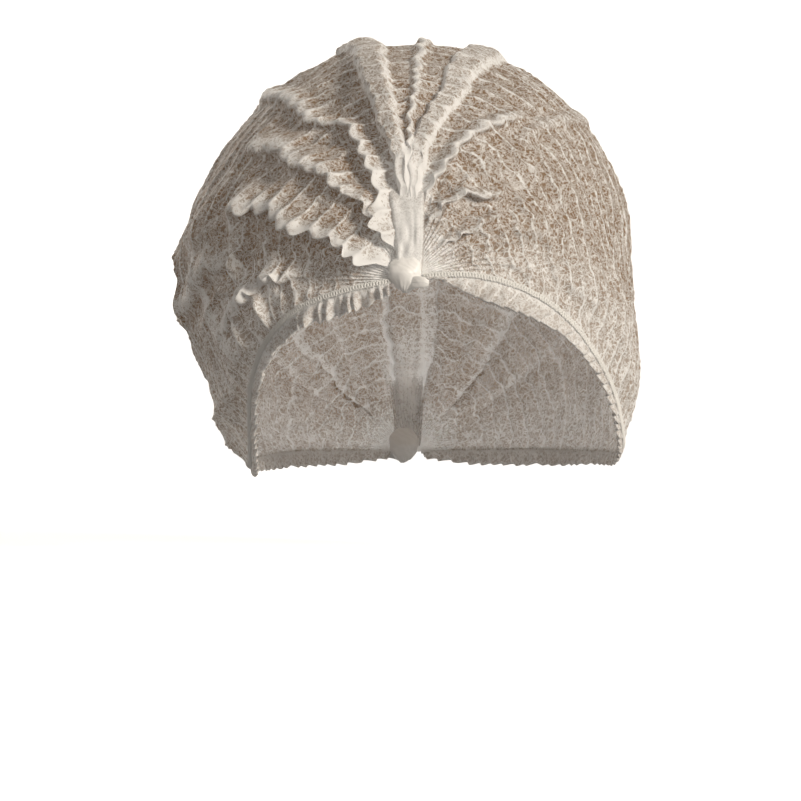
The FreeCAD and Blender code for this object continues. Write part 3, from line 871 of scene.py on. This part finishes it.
def make_gather(end):
    """The column of packed pleats above a weld. It lies on the crown, narrow end down."""
    piece, across, along = flat_grid(f"{end}_packed_pleats", 96, 90)
    high = 0.003 + GATHER_HIGH * along
    half = 0.0062 + 0.0016 * ease(along, 0.1, 1.0)
    sway = 0.0006 * np.sin(5 * along)
    wide = (2 * across - 1) * half + sway
    turn = np.arctan2(wide, high)
    travel = np.hypot(wide, high) / WELD_REACH
    if end == "rear":
        travel = math.pi - travel
    place, outward = egg(turn, travel)
    uneven = 0.7 * wander(2.3 * across, 2 * along, 70)
    fold = 0.5 + 0.5 * np.sin(2 * math.pi * (GATHER_FOLDS * across + uneven))
    edge = ease(np.abs(2 * across - 1), 1.0, 0.7)
    lift = 0.0008 + 0.0022 * edge * (0.88 + 0.12 * fold) * ease(along, 1.0, 0.3)
    lift = lift + 0.0004 * wander(5 * across, 6 * along, 71) * edge
    lift = lift - 0.0030 * ease(along, 0.8, 1.0) - 0.0016 * ease(edge, 0.5, 0.0)
    places = place + lift[..., None] * outward
    fading = 0.3 if end == "front" else 1.1
    sides = 0.7 * ease(np.abs(2 * across - 1), 0.75, 1.0)
    packed = 0.85 - np.maximum(fading * ease(along, 0.5, 1.0), sides)
    lay(piece, places, 0.01 * across, 4 * along, packed)
    thick = piece.modifiers.new("layers", "SOLIDIFY")
    thick.thickness = 0.0008
    piece.data.materials.append(PACKED)
    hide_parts(f"{end}_gather")
    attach(piece, "crown")
    return piece


for end in ("front", "rear"):
    make_gather(end)
print("columns of packed pleats,", round(1000 * GATHER_HIGH), "mm high")

# %% Welds
WELD_FOLDS = 9
WELD_HALF_SIZE = (0.0076, 0.0044, 0.0080)
WELD_RISE = Vector((-0.0012, 0, 0.0032))  # the lump sits a little above the weld line


def make_weld(end):
    """A lump from a sphere: flattened, and combed into folds that meet at its lower edge."""
    mesh = bpy.data.meshes.new(f"{end}_fused_bundle")
    bm = bmesh.new()
    bmesh.ops.create_uvsphere(bm, u_segments=96, v_segments=64, radius=1.0)
    for vert in bm.verts:
        x, y, z = vert.co
        away = math.atan2(x - 0.25 * z, z + 1.4)
        comb = 0.5 + 0.5 * math.sin(2 * WELD_FOLDS * away + 2 * x)
        lump = float(wander(1.7 * x + 3, 1.9 * z + 2 * y, 80))
        swell = 1 + 0.03 * (comb - 0.5) * (1 - abs(y) ** 3) + 0.06 * lump
        thin_top = 1 - 0.62 * max(z, 0)
        vert.co = Vector((x * (0.9 + 0.16 * z) + 0.10 * z * z, y * thin_top, z)) * swell
    bmesh.ops.scale(bm, verts=bm.verts, vec=WELD_HALF_SIZE)
    bmesh.ops.recalc_face_normals(bm, faces=bm.faces)
    for face in bm.faces:
        face.smooth = True
    facing = Matrix.Rotation(math.radians(180 if end == "rear" else 0), 4, "Z")
    centre = Vector((WELD_REACH + 0.0004) * AHEAD * (1 if end == "front" else -1)) + WELD_RISE
    bmesh.ops.transform(bm, matrix=Matrix.Translation(centre) @ facing, verts=bm.verts)
    bm.to_mesh(mesh)
    bm.free()
    piece = bpy.data.objects.new(mesh.name, mesh)
    bpy.context.collection.objects.link(piece)
    piece.data.materials.append(FUSED)
    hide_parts(f"{end}_weld")
    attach(piece, "crown")
    return piece


def make_tail(end):
    """The cut end of the strip: a thin tongue that leaves the bundle sideways and curls."""
    piece, across, along = flat_grid(f"{end}_cut_end", 24, 48)
    sign = 1 if end == "front" else -1
    wide = (2 * across - 1) * (0.0026 - 0.0010 * along) * (1 - 0.5 * ease(along, 0.8, 1.0))
    out = 0.0046 * np.sin(1.9 * along) - 0.0006 * (2 * across - 1) ** 2
    reach = 0.0105 * along
    drop = 0.0042 - 0.0016 * np.sin(2.6 * along) + 0.0004 * np.sin(14 * across)
    centre = WELD_REACH * AHEAD * sign + np.array([-0.002, -0.0006 * sign, 0.0022])
    places = centre + np.stack([sign * reach, -sign * out, wide - drop], axis=-1)
    lay(piece, places, 0.01 * across, 4 * along, 0.0)
    thick = piece.modifiers.new("layers", "SOLIDIFY")
    thick.thickness = 0.0011
    thick.offset = 0
    round_off = piece.modifiers.new("worn edge", "BEVEL")
    round_off.width = 0.0003
    round_off.segments = 2
    piece.data.materials.append(FUSED)
    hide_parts(f"{end}_tail")
    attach(piece, "crown")
    return piece


for end in ("front", "rear"):
    make_weld(end)
    make_tail(end)
print("welds done")

# %% [markdown]
# ## The stage
#
# A pale round floor that curves up into a wall on every side, so that no horizon cuts the
# picture from any angle. It shows from above only, so a view from below isn't blocked, and it
# casts no shadow, so the key light gets in through its wall. The key is a soft sun from the
# wearer's left. A weak fill evens the front, and a lamp behind lights the back of the cap.

# %% Floor and backdrop
PAPER_GLOW = 0.64  # the paper is lit through from behind, so that it stays paler than the cap


def stage_finish():
    """Matt pale paper, seen from its upper side only."""
    material, node, plug, maths = new_finish("pale_paper")
    noise = node("ShaderNodeTexNoise", Scale=30.0, Detail=4.0)
    plug(node("ShaderNodeTexCoord").outputs["Object"], noise.inputs["Vector"])
    tone = node("ShaderNodeValToRGB")
    tone.color_ramp.elements[0].color = (0.84, 0.84, 0.84, 1)
    tone.color_ramp.elements[1].color = (0.86, 0.86, 0.86, 1)
    plug(noise.outputs["Fac"], tone.inputs["Fac"])
    paper = node("ShaderNodeBsdfPrincipled", Roughness=0.9)
    paper.inputs["Emission Color"].default_value = (1, 1, 1, 1)
    paper.inputs["Emission Strength"].default_value = PAPER_GLOW
    plug(tone.outputs["Color"], paper.inputs["Base Color"])
    one_way = node("ShaderNodeMixShader")
    plug(node("ShaderNodeNewGeometry").outputs["Backfacing"], one_way.inputs["Fac"])
    plug(paper.outputs[0], one_way.inputs[1])
    plug(node("ShaderNodeBsdfTransparent").outputs[0], one_way.inputs[2])
    plug(one_way.outputs[0], node("ShaderNodeOutputMaterial").inputs["Surface"])
    return material


def make_backdrop(low):
    """A round floor, swept up into a wall on every side: an outline spun a full turn."""
    floor_half, sweep, wall_high = 3.0, 1.0, 3.0
    bends = [math.radians(angle) for angle in range(0, 91, 6)]
    outline = [(0.0, low)]
    outline += [(floor_half + sweep * math.sin(a), low + sweep * (1 - math.cos(a))) for a in bends]
    outline += [(floor_half + sweep, low + sweep + wall_high)]
    mesh = bpy.data.meshes.new("backdrop")
    bm = bmesh.new()
    verts = [bm.verts.new((away, 0, high)) for away, high in outline]
    edges = [bm.edges.new(pair) for pair in zip(verts, verts[1:])]
    outline = verts + edges
    full = dict(axis=(0, 0, 1), angle=2 * math.pi, steps=96, use_merge=True)
    bmesh.ops.spin(bm, geom=outline, cent=(0, 0, 0), **full)
    bmesh.ops.remove_doubles(bm, verts=bm.verts, dist=1e-5)
    bmesh.ops.recalc_face_normals(bm, faces=bm.faces)
    bm.normal_update()
    if sum(face.normal.z for face in bm.faces) < 0:
        bmesh.ops.reverse_faces(bm, faces=bm.faces)
    for face in bm.faces:
        face.smooth = True
    bm.to_mesh(mesh)
    bm.free()
    backdrop = bpy.data.objects.new("backdrop", mesh)
    bpy.context.collection.objects.link(backdrop)
    backdrop.data.materials.append(stage_finish())
    backdrop.visible_diffuse = False
    backdrop.visible_shadow = False
    backdrop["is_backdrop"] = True


CAP_MIDDLE = (0, 0, 0.04)
SWING_ROOM = 0.033  # the mouth's sides come down this far when they swing wide open
make_backdrop(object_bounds()[0][2] - SWING_ROOM)


def soft_light(name, place, side, power, colour):
    """A large square light at a place, turned to face the cap."""
    lamp = bpy.data.lights.new(name, "AREA")
    lamp.size, lamp.energy, lamp.color = side, power, colour
    holder = bpy.data.objects.new(name, lamp)
    holder.location = place
    holder.rotation_euler = (Vector(CAP_MIDDLE) - Vector(place)).to_track_quat("-Z", "Y").to_euler()
    bpy.context.collection.objects.link(holder)


key = bpy.data.lights.new("key", "SUN")
key.energy, key.angle, key.color = 3.0, 0.32, (1.0, 0.91, 0.79)
key_holder = bpy.data.objects.new("key", key)
key_holder.rotation_euler = Vector((0.72, -0.62, 0.34)).to_track_quat("Z", "Y").to_euler()
bpy.context.collection.objects.link(key_holder)
soft_light("fill", (-0.9, -1.5, 0.3), 1.2, 2.2, (1.0, 0.90, 0.77))
soft_light("behind", (-0.9, 1.5, 1.0), 1.0, 14, (1.0, 0.91, 0.80))
world = bpy.data.worlds.new("studio")
world.use_nodes = True
world.node_tree.nodes["Background"].inputs["Color"].default_value = (1.0, 0.91, 0.81, 1)
world.node_tree.nodes["Background"].inputs["Strength"].default_value = 0.13
bpy.context.scene.world = world
print("lights: key, fill, behind and the studio's own glow")

# %% [markdown]
# ## The camera
#
# A long lens straight ahead of the cap, level, and a little below the height halfway between
# the two welds. From 1.6 m away, the back of the cap comes out about an eighth smaller than
# its front.

# %% The camera
CAMERA_AWAY, CAMERA_HIGH, CAMERA_LEFT, LENS = 1.604, -0.0127, -0.003, 164
camera_data = bpy.data.cameras.new("camera")
camera_data.lens = LENS
camera = bpy.data.objects.new("camera", camera_data)
camera.location = (CAMERA_LEFT, -CAMERA_AWAY, CAMERA_HIGH)
camera.rotation_euler = (math.pi / 2, 0, 0)
bpy.context.collection.objects.link(camera)
bpy.context.scene.camera = camera
bpy.context.scene.view_settings.view_transform = "Standard"
print("camera", CAMERA_AWAY, "m away, lens", LENS, "mm")
